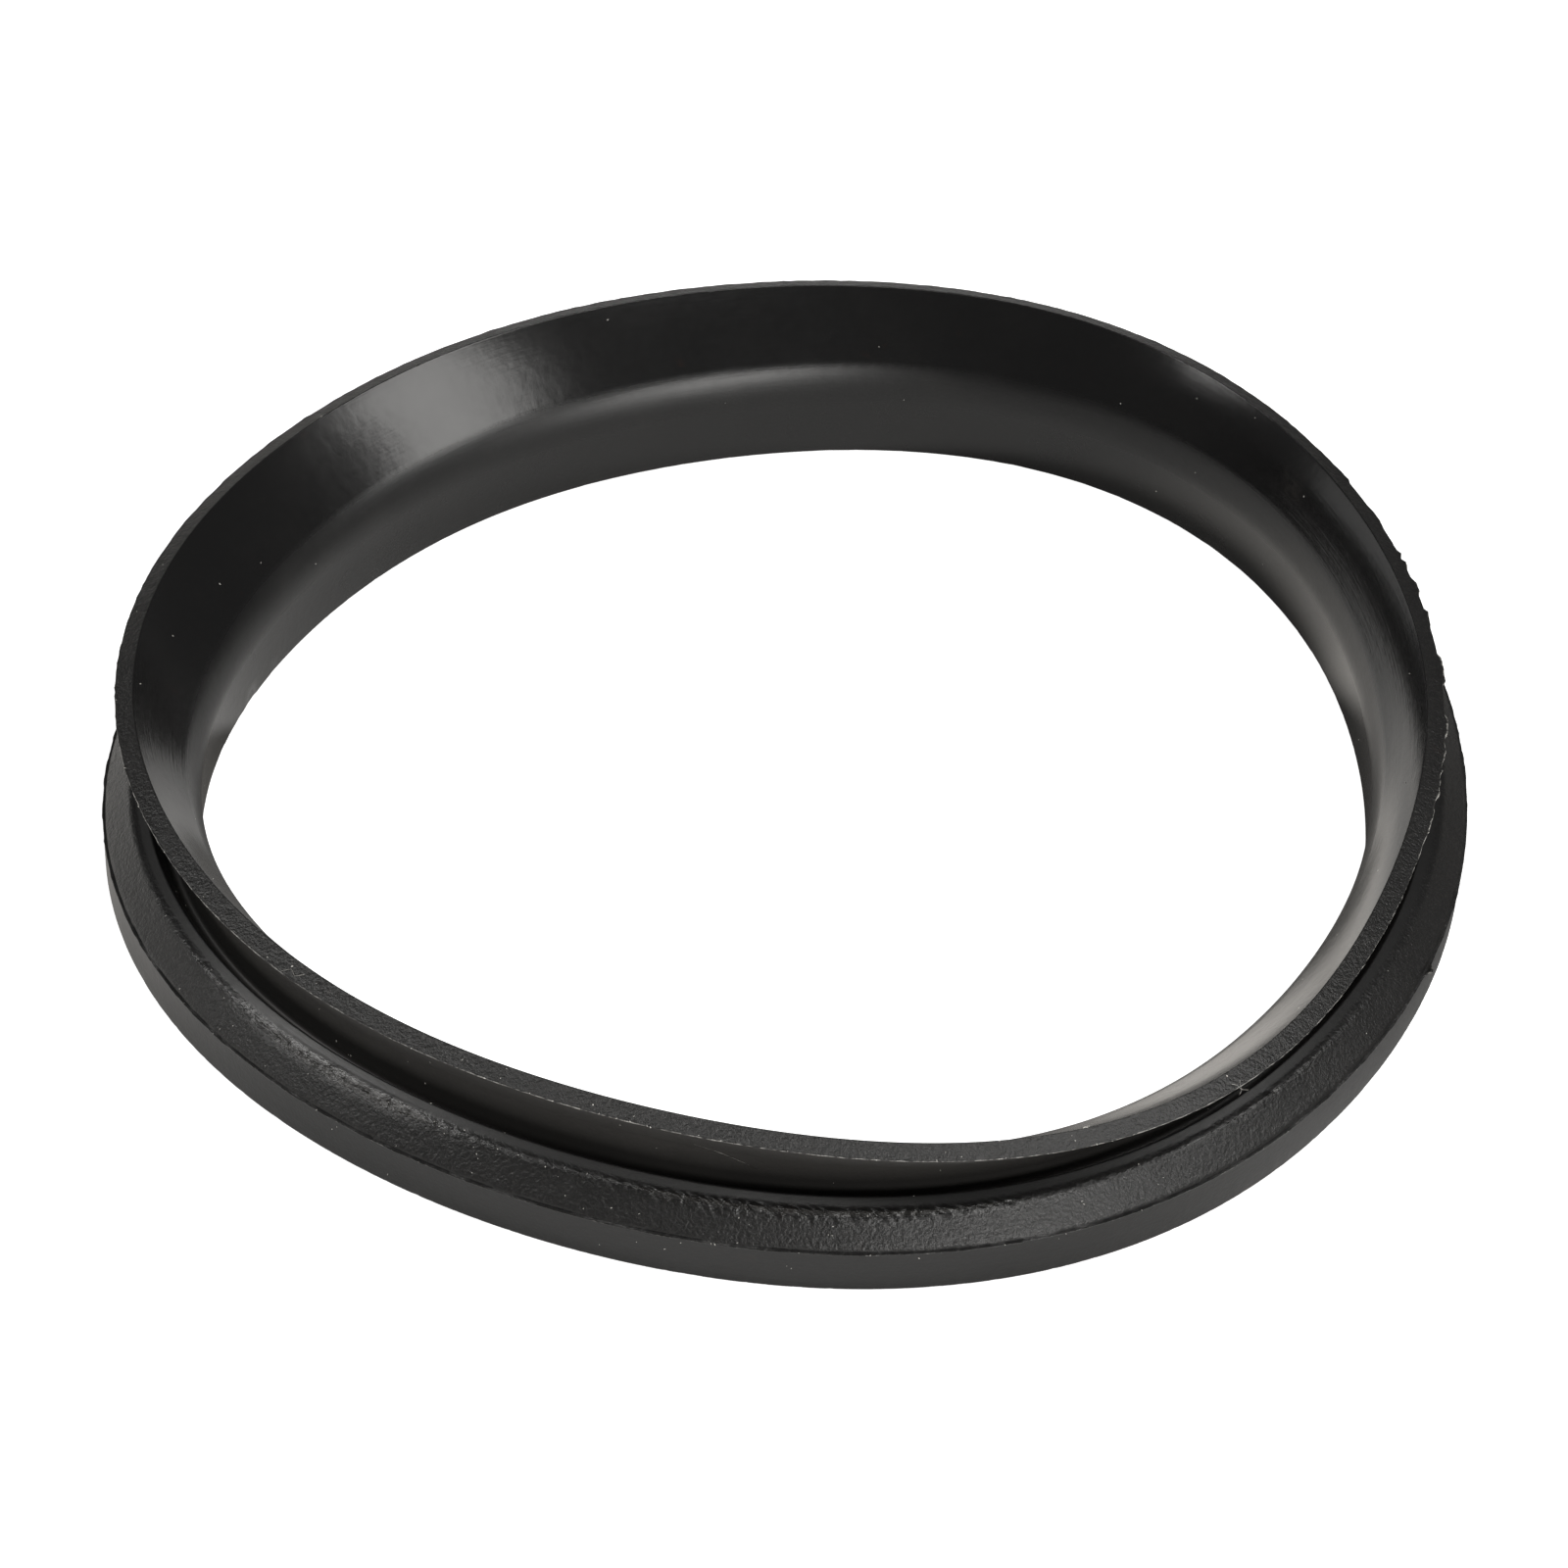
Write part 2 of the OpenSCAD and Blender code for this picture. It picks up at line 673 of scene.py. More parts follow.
@dataclass(frozen=True)
class Rubber:
    """Black moulded rubber: matt and grained on the chamfer and land, smooth on the cone and bore."""

    name: str = "Black rubber"
    colour: Colour = (0.0052, 0.0051, 0.0051)
    # The bloom's colour, also used for the painted light on the lip's back and in the groove
    bloom_and_painted_light: Colour = (0.033, 0.031, 0.0285)
    rusty: Colour = (0.030, 0.013, 0.008)
    whitened: Colour = (0.42, 0.41, 0.385)
    # Painted shade: the colour in the parting-line crease, darker than the black rubber, as the shade in it
    # would make it
    crease_painted_shade: Colour = (0.0008, 0.0008, 0.0008)
    crease_shade_slope: Slope = (0.0, 0.7)
    crease_roughness: Slope = (0.1, 0.6, 0.0, 0.5)
    smooth_roughness: float = 0.19
    matt_roughness: float = 0.64
    fold_gloss: float = 0.2
    patches: Pattern = Pattern(9.0 * MM, 4.0, 0.6, (-0.1, 0.9))
    patch_bloom: float = 0.06
    matt_patch_bloom: float = 0.12
    specks: Pattern = Pattern(0.45 * MM, 3.0, 0.7, (0.0, 0.8))
    matt_speck_bloom: float = 0.12
    grain_speck_bloom: float = 0.45
    grain_bloom: Slope = (0.4, 1.0, 0.0, 0.07)
    # Partly painted light: on the lip's back and in the groove, the most matt faces, this lifts the colour
    # far above the rest
    matt_bloom_and_painted_light: Slope = (0.6, 0.85, 0.0, 0.85)
    fold_bloom: Slope = (0.45, 0.9, 0.0, 0.5)
    stain_bloom: float = 0.6
    blotches: Pattern = Pattern(6.0 * MM, 4.0, 0.7, (0.35, 0.95))
    rust: float = 0.45
    tears: Pattern = Pattern(1.1 * MM, 4.0, 0.75)
    tear_reach: float = 0.9
    torn: Slope = (0.55, 1.0)
    handling: Pattern = Pattern(14.0 * MM, 4.0, 0.55)
    handling_roughness: float = 0.03
    smears: Pattern = Pattern(1.1 * MM, 3.0, 0.6)
    smear_roughness: float = 0.02
    grain: Pattern = Pattern(0.42 * MM, 3.0, 0.6)
    grain_depth: float = 0.052 * MM
    mottle: Pattern = Pattern(1.1 * MM)
    mottle_depth: float = 0.034 * MM
    peel: Pattern = Pattern(1.6 * MM)
    peel_depth: float = 0.006 * MM
    strokes: Pattern = Pattern(0.35 * MM, 3.0, 0.6)
    stroke_depth: float = 0.004 * MM
    stroke_turn: float = 4.0 * MM
    crumples: Pattern = Pattern(0.9 * MM, 3.0, 0.6)
    fold_depth: float = 0.05 * MM
    flap_from: tuple[float, float] = (-8.4, 16.6 * MM)
    flap_to: tuple[float, float] = (-0.6, 10.6 * MM)
    flap_depth: float = 0.12 * MM
    flap_wander: Pattern = Pattern(1.2 * MM, 3.0, 0.6)
    flap_wander_height: float = 0.12 * MM
    flap_start: Slope = (0.0, 0.12)
    flap_end: Slope = (0.55, 1.0, 1.0, 0.0)
    flap_step: Slope = (-0.06 * MM, 0.06 * MM)
    flap_fading: Slope = (0.3 * MM, 2.2 * MM, 1.0, 0.0)
    flap_edge: Slope = (0.04 * MM, 0.13 * MM, 1.0, 0.0)
    stain: Stretch = Stretch(129.9, 2.6)
    stain_height: float = 17.0 * MM
    stain_fading: Slope = (0.2 * MM, 2.2 * MM, 1.0, 0.0)
    stain_edge: Pattern = Pattern(3.0 * MM, 3.0, 0.7)
    stain_edge_height: float = 1.0 * MM
    stain_patches: Pattern = Pattern(1.3 * MM, 3.0, 0.7, (-0.5, 0.6))

    def build(self) -> bpy.types.Material:
        """Makes the material.

        Returns:
            The rubber's material.
        """
        material, bench = new_material(self.name)
        moulded, skin, marks = (bench.painted(name) for name in ("moulded", "skin", "marks"))
        matt, grain, edge = bench.parts(skin)
        fold, crease, back = bench.parts(marks)
        flap, line = self._flap(bench, moulded, back)
        colour = self._colour(bench, moulded, (matt, grain, fold, bench.math("MAXIMUM", edge, line)))
        # Painted shade: the crease is darkened in colour as well as being cut into the mesh
        colour = bench.mix(bench.ramp(crease, *self.crease_shade_slope), colour, self.crease_painted_shade)
        roughness = self._roughness(bench, moulded, matt, fold)
        roughness = roughness + bench.ramp(crease, *self.crease_roughness)
        height = self._height(bench, moulded, grain, fold) + flap * self.flap_depth
        bump = bench.made("ShaderNodeBump", {"Strength": 1.0, "Distance": 1.0, "Height": height})
        bench.surface({"Base Color": colour, "Roughness": roughness, "Normal": bump})
        return material

    def _colour(self, bench: Bench, moulded: Field, masks: tuple[Field, ...]) -> Field:
        """Black, with a faint bloom in patches, rusty blotches and whitened edges. On the most matt faces,
        the back of the lip and the groove, the bloom is raised much further: partly bloom, partly painted
        light that brightens these faces.

        Args:
            bench: The material's bench.
            moulded: Place in the moulded ring.
            masks: How matt the face is, how grained, how strongly it folded, and how near a ragged edge is.

        Returns:
            The colour.
        """
        matt, grain, fold, edge = masks
        patchy = self.patch_bloom + matt * self.matt_patch_bloom
        specked = matt * self.matt_speck_bloom + grain * self.grain_speck_bloom
        bloom_and_painted_light = bench.spread(moulded, self.patches) * patchy + bench.spread(moulded, self.specks) * specked
        # The matt term is partly bloom and partly painted light on the lip's back and in the groove
        bloom_and_painted_light = bloom_and_painted_light + bench.ramp(grain, *self.grain_bloom) + bench.ramp(matt, *self.matt_bloom_and_painted_light)
        bloom_and_painted_light = bloom_and_painted_light + self._stain(bench, moulded) * self.stain_bloom + bench.ramp(fold, *self.fold_bloom)
        clean = bench.mix(bloom_and_painted_light, self.colour, self.bloom_and_painted_light)
        blotch = bench.spread(moulded, self.blotches)
        black = bench.mix(blotch * (1.0 - matt) * self.rust, clean, self.rusty)
        torn = bench.ramp(bench.noise(moulded, self.tears) + edge * self.tear_reach, *self.torn)
        return bench.mix(torn * edge, black, self.whitened)

    def _flap(self, bench: Bench, moulded: Field, back: Field) -> tuple[Field, Field]:
        """A thin flap on the back of the lip, from a slanted torn edge upwards.

        Args:
            bench: The material's bench.
            moulded: Place in the moulded ring.
            back: 1 on the back of the lip.

        Returns:
            1 above the flap's edge, falling to 0 below it, and then 1 on the edge itself.
        """
        x, y, z = bench.parts(moulded)
        (first, start), (last, end) = self.flap_from, self.flap_to
        along = (bench.angle(x, y) - math.radians(first)) * (1.0 / math.radians(last - first))
        inside = bench.ramp(along, *self.flap_start) * bench.ramp(along, *self.flap_end) * back
        wander = bench.noise(moulded, self.flap_wander) * self.flap_wander_height
        over = z - (along * (end - start) + start) + wander
        step = bench.ramp(over, *self.flap_step) * bench.ramp(over, *self.flap_fading)
        line = bench.ramp(bench.math("ABSOLUTE", over), *self.flap_edge)
        return step * inside, line * inside

    def _stain(self, bench: Bench, moulded: Field) -> Field:
        """A small pale stain on the cone, at the back on the right.

        Args:
            bench: The material's bench.
            moulded: Place in the moulded ring.

        Returns:
            How stained the place is, from 0 to 1.
        """
        x, y, z = bench.parts(moulded)
        wander = bench.noise(moulded, self.stain_edge) * self.stain_edge_height
        beside = bench.math("ABSOLUTE", z - self.stain_height + wander)
        where = bench.near(bench.angle(x, y), self.stain) * bench.ramp(beside, *self.stain_fading)
        return where * bench.spread(moulded, self.stain_patches)

    def _roughness(self, bench: Bench, moulded: Field, matt: Field, fold: Field) -> Field:
        """Rough where the mould was matt, with handling marks.

        Args:
            bench: The material's bench.
            moulded: Place in the moulded ring.
            matt: How matt the face is.
            fold: How strongly the rubber folded there.

        Returns:
            The roughness.
        """
        handled = bench.noise(moulded, self.handling) * self.handling_roughness
        fine = bench.noise(moulded, self.smears) * self.smear_roughness
        base = self.smooth_roughness + matt * (self.matt_roughness - self.smooth_roughness)
        return base - fold * self.fold_gloss + handled + fine

    def _height(self, bench: Bench, moulded: Field, grain: Field, fold: Field) -> Field:
        """The relief that is too fine for the mesh, in metres.

        Args:
            bench: The material's bench.
            moulded: Place in the moulded ring.
            grain: How grained the face is.
            fold: How strongly the rubber folded there.

        Returns:
            The height of the relief.
        """
        x, y, z = bench.parts(moulded)
        along = bench.vector(bench.radius(x, y), z, bench.angle(x, y) * self.stroke_turn)
        grained = bench.noise(moulded, self.grain) * grain * self.grain_depth
        mottled = bench.noise(moulded, self.mottle) * grain * self.mottle_depth
        peeled = bench.noise(moulded, self.peel) * self.peel_depth
        stroked = bench.noise(along, self.strokes) * self.stroke_depth
        folded = bench.noise(moulded, self.crumples) * fold * self.fold_depth
        return grained + mottled + peeled + stroked + folded


@dataclass(frozen=True)
class Dust:
    """Pale dust and lint."""

    name: str = "Dust"
    colour: Colour = (0.80, 0.78, 0.73)
    roughness: float = 0.9
    patches: Pattern = Pattern(2.5 * MM, 2.0, 0.5, (-0.8, 0.8, 0.55, 1.0))

    def build(self) -> bpy.types.Material:
        """Makes the material.

        Returns:
            The dust's material.
        """
        material, bench = new_material(self.name)
        place = bench.out(bench.node("ShaderNodeTexCoord"), "Object")
        shade = bench.spread(place, self.patches)
        colour = bench.made("ShaderNodeCombineColor", {k: shade * part for k, part in enumerate(self.colour)})
        bench.surface({"Base Color": colour, "Roughness": self.roughness})
        return material


class Recipe:
    """A Geometry Nodes tree with named inputs, which makes the mesh of one piece."""

    SOCKETS = {int: "NodeSocketInt", float: "NodeSocketFloat", bpy.types.Material: "NodeSocketMaterial"}

    def __init__(self, name: str, values: dict[str, object]) -> None:
        """Starts the tree.

        Args:
            name: The tree's name.
            values: What each of its named inputs gets.
        """
        self.tree = bpy.data.node_groups.new(name, "GeometryNodeTree")
        self.bench = Bench(self.tree)
        self.values = values
        interface = self.tree.interface
        for way in ("INPUT", "OUTPUT"):
            interface.new_socket("Geometry", in_out=way, socket_type="NodeSocketGeometry")
        for title, value in values.items():
            kind = next(socket for plain, socket in self.SOCKETS.items() if isinstance(value, plain))
            interface.new_socket(title, in_out="INPUT", socket_type=kind)
        self.group = self.bench.node("NodeGroupInput")

    def read(self, name: str) -> Field:
        """The named input as a field."""
        return self.bench.out(self.group, name)

    def finish(self, shape: Field, material: str) -> None:
        """Ends the tree with real geometry, dressed in a material.

        Args:
            shape: The geometry.
            material: The name of the input that holds the material.
        """
        real = self.bench.made("GeometryNodeRealizeInstances", {"Geometry": shape})
        fed = {"Geometry": real, "Material": self.read(material)}
        self.bench.node("NodeGroupOutput", {"Geometry": self.bench.made("GeometryNodeSetMaterial", fed)})

    def apply(self, piece: bpy.types.Object) -> bpy.types.Mesh:
        """Runs the tree on a piece, and leaves the result as its plain mesh.

        Args:
            piece: The piece whose mesh goes into the tree.

        Returns:
            The piece's new mesh.
        """
        modifier = piece.modifiers.new(self.tree.name, "NODES")
        modifier.node_group = self.tree
        for item in self.tree.interface.items_tree:
            if item.in_out == "INPUT" and item.name in self.values:
                modifier[item.identifier] = self.values[item.name]
        depsgraph = bpy.context.evaluated_depsgraph_get()
        shown = piece.evaluated_get(depsgraph)
        mesh = bpy.data.meshes.new_from_object(shown, preserve_all_data_layers=True, depsgraph=depsgraph)
        piece.modifiers.clear()
        before = piece.data
        piece.data = mesh
        mesh.name = piece.name
        bpy.data.meshes.remove(before)
        return mesh


@dataclass
class MouldedRing:
    """The ring itself: its section swept round the axis, bent out of round, with its flash and folds."""

    lie: Lie
    rubber: Rubber
    around: int = 900
    front_closeness: float = 0.65
    weld: float = 2e-6
    fold_height: float = 0.58 * MM
    folds_around: int = 286
    fold_slant: float = 0.75 / MM
    fold_fading: float = 1.7
    front_folds: Stretch = Stretch(3.0, 26.0)
    left_folds: Stretch = Stretch(-42.0, 26.0)
    right_folds: Stretch = Stretch(46.0, 16.0)
    left_share: float = 0.45
    right_share: float = 0.4
    fold_patches: Pattern = Pattern(11.0 * MM, 3.0, 0.6, (-0.5, 0.8, 0.15, 0.6))
    fold_wander: Pattern = Pattern(5.0 * MM, 2.0, 0.6)
    fold_wander_turns: float = 1.3
    fold_rise: Slope = (0.0, 0.4)
    fold_fall: Slope = (0.84, 1.0)
    fold_middle: float = 0.6
    fold_sizes: Pattern = Pattern(3.1 * MM, 2.0, 0.5, (-0.4, 0.4, 0.3, 1.0))
    lumps: Pattern = Pattern(1.4 * MM, 3.0, 0.6)
    slump: float = 0.37 * MM
    slumped: Stretch = Stretch(319.5, 19.0)
    slump_lumps: Pattern = Pattern(2.6 * MM, 3.0, 0.6)
    fin_height: float = 0.19 * MM
    fin_whiteness: float = 0.62
    fin_edge: Pattern = Pattern(1.5 * MM, 4.0, 0.8)
    fin_steps: Pattern = Pattern(6.0 * MM, 2.0, 0.5, (-0.05, 0.05, 0.3, 1.0))
    fin_lowest: float = -0.4
    nib: Stretch = Stretch(69.9, 0.7)
    nib_height: float = 0.9 * MM
    nick: Stretch = Stretch(20.9, 0.8)
    nick_depth: float = 1.2
    crease_depth: float = 0.34 * MM
    crease_breaks: Pattern = Pattern(5.0 * MM, 3.0, 0.7, (-0.6, 0.3, 0.15, 1.0))
    crease_edge: Pattern = Pattern(0.7 * MM, 3.0, 0.7)
    feather_height: float = 0.20 * MM
    feather_edge: Pattern = Pattern(1.7 * MM, 4.0, 0.75)
    bitten: Stretch = Stretch(98.0, 42.0)
    bites: Pattern = Pattern(5.0 * MM, 2.0, 0.7, (-0.06, 0.06, -1.2, 1.2))
    small_bites: Pattern = Pattern(2.1 * MM, 1.0, 0.5, (-0.05, 0.05, -0.5, 0.5))
    foot_wear: float = 0.16 * MM
    foot_patches: Pattern = Pattern(1.9 * MM, 3.0, 0.7)
    foot_worn: float = 0.8
    foot_nicks: tuple[Stretch, Stretch] = (Stretch(265.9, 1.0), Stretch(257.7, 1.3))
    foot_nick_depth: float = 2.2

    MASKS = ("matt", "grain", "fold", "slump", "crease", "fin", "feather", "foot", "back")
    FOOT_FALL = 0.6

    def build(self) -> bpy.types.Object:
        """Makes the ring.

        Returns:
            The ring as one closed mesh.
        """
        points = self.lie.section.points()
        piece = self._section_object(points)
        scale, shift = self.lie.fit()
        recipe = Recipe("Ring sweep", {
            "Points around": self.around,
            "Points in section": len(points),
            "Closeness at the front": self.front_closeness,
            "Scale": scale,
            "Shift right": shift.x,
            "Shift back": shift.y,
            "Fold height": self.fold_height,
            "Slump": self.slump,
            "Fin height": self.fin_height,
            "Feather height": self.feather_height,
            "Foot wear": self.foot_wear,
            "Crease depth": self.crease_depth,
            "Rubber": self.rubber.build(),
        })
        self._grow(recipe)
        mesh = recipe.apply(piece)
        LOG.info("%s: %d points in the section, %d faces", piece.name, len(points), len(mesh.polygons))
        return piece

    def _section_object(self, points: list[SectionPoint]) -> bpy.types.Object:
        """An object whose points are the section's, with their masks as attributes.

        Args:
            points: The section.

        Returns:
            The object, linked to the scene.
        """
        mesh = bpy.data.meshes.new("section")
        mesh.from_pydata([p.place for p in points], [], [])
        neighbours = zip(points[-1:] + points[:-1], points[1:] + points[:1])
        runs = [after.place - before.place for before, after in neighbours]
        outward = [Vector((run.z, 0.0, -run.x)).normalized() for run in runs]
        attribute = mesh.attributes.new("outward", "FLOAT_VECTOR", "POINT")
        attribute.data.foreach_set("vector", [part for way in outward for part in way])
        shoulder = self._arc_of(points, RingSection.SHOULDER)
        edge_end = self._arc_of(points, RingSection.PARTING)[-1]
        masks = [self._masks(point, shoulder[len(shoulder) // 2], edge_end) for point in points]
        for name in self.MASKS:
            values = [mask[name] for mask in masks]
            mesh.attributes.new(name, "FLOAT", "POINT").data.foreach_set("value", values)
        return new_object("moulded_ring", mesh)

    @staticmethod
    def _arc_of(points: list[SectionPoint], corner: int) -> list[Vector]:
        """The places of a corner's arc."""
        return [p.place for p in points if p.corner == corner and p.on_arc <= 1.0]

    def _masks(self, point: SectionPoint, shoulder: Vector, edge_end: Vector) -> dict[str, float]:
        """Where a point of the section lies among the marks of the mould.

        Args:
            point: The point.
            shoulder: The middle of the shoulder's arc.
            edge_end: The upper end of the parting line's arc.

        Returns:
            The value of each mask, from 0 to 1.
        """
        section = self.lie.section
        away = point.place - shoulder
        fold_reach = section.fold_reach_in if away.x < 0.0 else section.fold_reach_down
        slump_reach = section.slump_reach_in if away.x < 0.0 else section.slump_reach_down
        near = point.corner in (section.PARTING, section.SHOULDER, section.SHOULDER + 1)
        from_crease = abs((point.place - edge_end).length - section.crease_from_fin)
        on_face = point.on_arc > 1.0
        chamfered = point.corner == section.PARTING and on_face
        footed = point.corner <= section.WALL_FOOT and not on_face
        from_middle = abs(2.0 * point.on_arc - 1.0)
        return {
            "matt": point.matt,
            "grain": point.grain,
            "fold": falling(away.length, fold_reach) if near else 0.0,
            "slump": falling(away.length, slump_reach) if near else 0.0,
            "crease": falling(from_crease, section.crease_reach) if chamfered else 0.0,
            "fin": 1.0 - from_middle if point.corner == section.PARTING and not on_face else 0.0,
            "feather": 1.0 - from_middle if point.corner == section.LIP_EDGE and not on_face else 0.0,
            "foot": 1.0 - from_middle * self.FOOT_FALL if footed else 0.0,
            "back": 1.0 if point.corner == section.BEND else 0.0,
        }

    def _grow(self, recipe: Recipe) -> None:
        """Fills in the tree that sweeps and bends the section.

        Args:
            recipe: The tree.
        """
        bench = recipe.bench
        around, rows = recipe.read("Points around"), recipe.read("Points in section")
        size = {"Size X": 1.0, "Size Y": 1.0, "Vertices X": around + 1.0, "Vertices Y": rows + 1.0}
        shape = bench.out(bench.node("GeometryNodeMeshGrid", size), "Mesh")
        number = bench.made("GeometryNodeInputIndex")
        column = bench.math("FLOOR", number / (rows + 1.0))
        row = bench.math("MODULO", number - column * (rows + 1.0), rows)
        share = column / around * TURN
        angle = share - recipe.read("Closeness at the front") * bench.math("SINE", share)
        here = bench.made("GeometryNodeInputPosition")
        radius, _, height = bench.parts(self._sampled(recipe, here, row, "FLOAT_VECTOR"))
        outward = self._sampled(recipe, bench.named("outward"), row, "FLOAT_VECTOR")
        out_radius, _, out_height = bench.parts(outward)
        masks = {name: self._sampled(recipe, bench.named(name, "FLOAT"), row, "FLOAT") for name in self.MASKS}
        sine, cosine = bench.math("SINE", angle), bench.math("COSINE", angle)
        moulded = bench.vector(radius * sine, 0.0 - radius * cosine, height)
        rise = self._marks(recipe, moulded, (angle, radius), masks)
        radius = (radius + self._swell(bench, angle, height) + out_radius * rise) * recipe.read("Scale")
        height = bench.math("MAXIMUM", height + out_height * rise, 0.0)
        x = radius * sine + recipe.read("Shift right")
        y = recipe.read("Shift back") - radius * cosine
        edge = bench.math("MINIMUM", masks["fin"] * self.fin_whiteness + masks["feather"], 1.0)
        skin = bench.vector(masks["matt"], masks["grain"], edge)
        marks = bench.vector(masks["fold"], masks["crease"], masks["back"])
        for name, value in (("moulded", moulded), ("skin", skin), ("marks", marks)):
            fed = {"Geometry": shape, "Name": name}
            kind = {"data_type": "FLOAT_VECTOR", "domain": "POINT"}
            stored = bench.node("GeometryNodeStoreNamedAttribute", fed, **kind)
            bench.feed(bench.socket(stored.inputs, "Value"), value)
            shape = bench.out(stored)
        place = bench.vector(x, y, height)
        shape = bench.made("GeometryNodeSetPosition", {"Geometry": shape, "Position": place})
        shape = bench.made("GeometryNodeMergeByDistance", {"Geometry": shape, "Distance": self.weld})
        shape = bench.made("GeometryNodeSetShadeSmooth", {"Geometry": shape, "Shade Smooth": True})
        recipe.finish(shape, "Rubber")

    @staticmethod
    def _sampled(recipe: Recipe, value: Field, row: Field, kind: str) -> Field:
        """A value of the section, read for every point of the sweep.

        Args:
            recipe: The tree.
            value: The value on the section.
            row: Number of the section's point.
            kind: The value's type.

        Returns:
            The value as a field on the sweep.
        """
        fed = {"Geometry": recipe.read("Geometry"), "Value": value, "Index": row}
        return recipe.bench.made("GeometryNodeSampleIndex", fed, data_type=kind, domain="POINT")

    def _marks(self, recipe: Recipe, moulded: Field, at: Polar, masks: dict[str, Field]) -> Field:
        """How far the marks of the mould stand out, and how strongly the rubber folded and creased.

        Args:
            recipe: The tree.
            moulded: Place in the moulded ring.
            at: Angle from the front, and then distance from the axis.
            masks: The section's masks. The fold and the crease are replaced by what is really there.

        Returns:
            The rise in metres.
        """
        bench, (angle, radius) = recipe.bench, at
        folds, folded = self._folds(bench, moulded, at, masks["fold"])
        fin = self._fin(bench, moulded, angle, masks["fin"])
        feather = self._feather(bench, moulded, angle, masks["feather"])
        foot = self._foot(bench, moulded, angle, masks["foot"])
        crease = self._crease(bench, moulded, masks["crease"])
        uneven = bench.noise(moulded, self.slump_lumps) * 0.3 + 1.0
        slump = bench.near(angle, self.slumped) * masks["slump"] * uneven
        masks["fold"] = bench.math("MAXIMUM", folded, bench.math("MINIMUM", slump * 1.6, 1.0))
        masks["crease"] = crease
        risen = folds * recipe.read("Fold height") + fin * recipe.read("Fin height")
        risen = risen + feather * recipe.read("Feather height")
        fallen = foot * recipe.read("Foot wear") + crease * recipe.read("Crease depth")
        return risen - (fallen + slump * recipe.read("Slump"))

    def _swell(self, bench: Bench, angle: Field, height: Field) -> Field:
        """How far the ring stands out from round, as Lie.swell gives it.

        Args:
            bench: The tree's bench.
            angle: Angle from the front.
            height: Height over the floor.

        Returns:
            The swell in metres.
        """
        lie = self.lie
        body = self._waves(bench, angle, lie.body, lie.body_dents)
        lip = self._waves(bench, angle, lie.lip, lie.lip_dents)
        return body + (lip - body) * bench.ramp(height, lie.lip_from, lie.section.height)

    @staticmethod
    def _waves(bench: Bench, angle: Field, lobes: tuple[Lobe, ...], dents: tuple[Dent, ...]) -> Field:
        """The sum of several waves and dents.

        Args:
            bench: The tree's bench.
            angle: Angle from the front.
            lobes: The waves.
            dents: The dents.

        Returns:
            The sum in metres.
        """
        rises = [bench.near(angle, dent) * dent.height for dent in dents]
        for lobe in lobes:
            turned = (angle - math.radians(lobe.facing)) * float(lobe.count)
            rises.append(bench.math("COSINE", turned) * lobe.height)
        return sum(rises[1:], rises[0])

    def _folds(self, bench: Bench, moulded: Field, at: Polar, fold: Field) -> tuple[Field, Field]:
        """The slanted folds that the flowing rubber left on the shoulder.

        Args:
            bench: The tree's bench.
            moulded: Place in the moulded ring.
            at: Angle from the front, and then distance from the axis.
            fold: How near the shoulder is.

        Returns:
            The height of the folds from -1 to 1, and then how strongly the rubber folded, from 0 to 1.
        """
        angle, radius = at
        stretches = (self.front_folds, self.left_folds, self.right_folds)
        front, left, right = (bench.near(angle, stretch) for stretch in stretches)
        where = bench.spread(moulded, self.fold_patches) + front
        where = where + left * self.left_share + right * self.right_share
        strength = bench.math("POWER", fold, self.fold_fading) * bench.math("MINIMUM", where, 1.0)
        wander = bench.noise(moulded, self.fold_wander) * self.fold_wander_turns
        turns = angle * (self.folds_around / TURN) - radius * self.fold_slant + wander
        tooth = bench.math("FRACT", turns)
        notched = bench.ramp(tooth, *self.fold_rise) - bench.ramp(tooth, *self.fold_fall)
        uneven = bench.spread(moulded, self.fold_sizes)
        lumps = bench.noise(moulded, self.lumps) * (0.25 + left * 0.35)
        return ((notched - self.fold_middle) * uneven * (front * 1.1 + 0.35) + lumps) * strength, strength

    def _fin(self, bench: Bench, moulded: Field, angle: Field, fin: Field) -> Field:
        """The thin ragged flash at the parting line, with one nib and one nick.

        Args:
            bench: The tree's bench.
            moulded: Place in the moulded ring.
            angle: Angle from the front.
            fin: 1 at the tip of the fin.

        Returns:
            The height of the fin, from about 0 to 2.
        """
        ragged = bench.noise(moulded, self.fin_edge) * 0.9 + 0.5
        steps = bench.spread(moulded, self.fin_steps)
        nib = bench.near(angle, self.nib) * (self.nib_height / self.fin_height)
        nick = bench.near(angle, self.nick) * self.nick_depth
        return bench.math("MAXIMUM", ragged * steps - nick, self.fin_lowest) * fin + nib * fin

    def _crease(self, bench: Bench, moulded: Field, crease: Field) -> Field:
        """The broken crease where the two halves of the mould met.

        Args:
            bench: The tree's bench.
            moulded: Place in the moulded ring.
            crease: 1 in the middle of the crease.

        Returns:
            The depth of the crease, from 0 to about 1.
        """
        uneven = bench.noise(moulded, self.crease_edge) * 0.55 + 0.75
        return crease * bench.spread(moulded, self.crease_breaks) * uneven

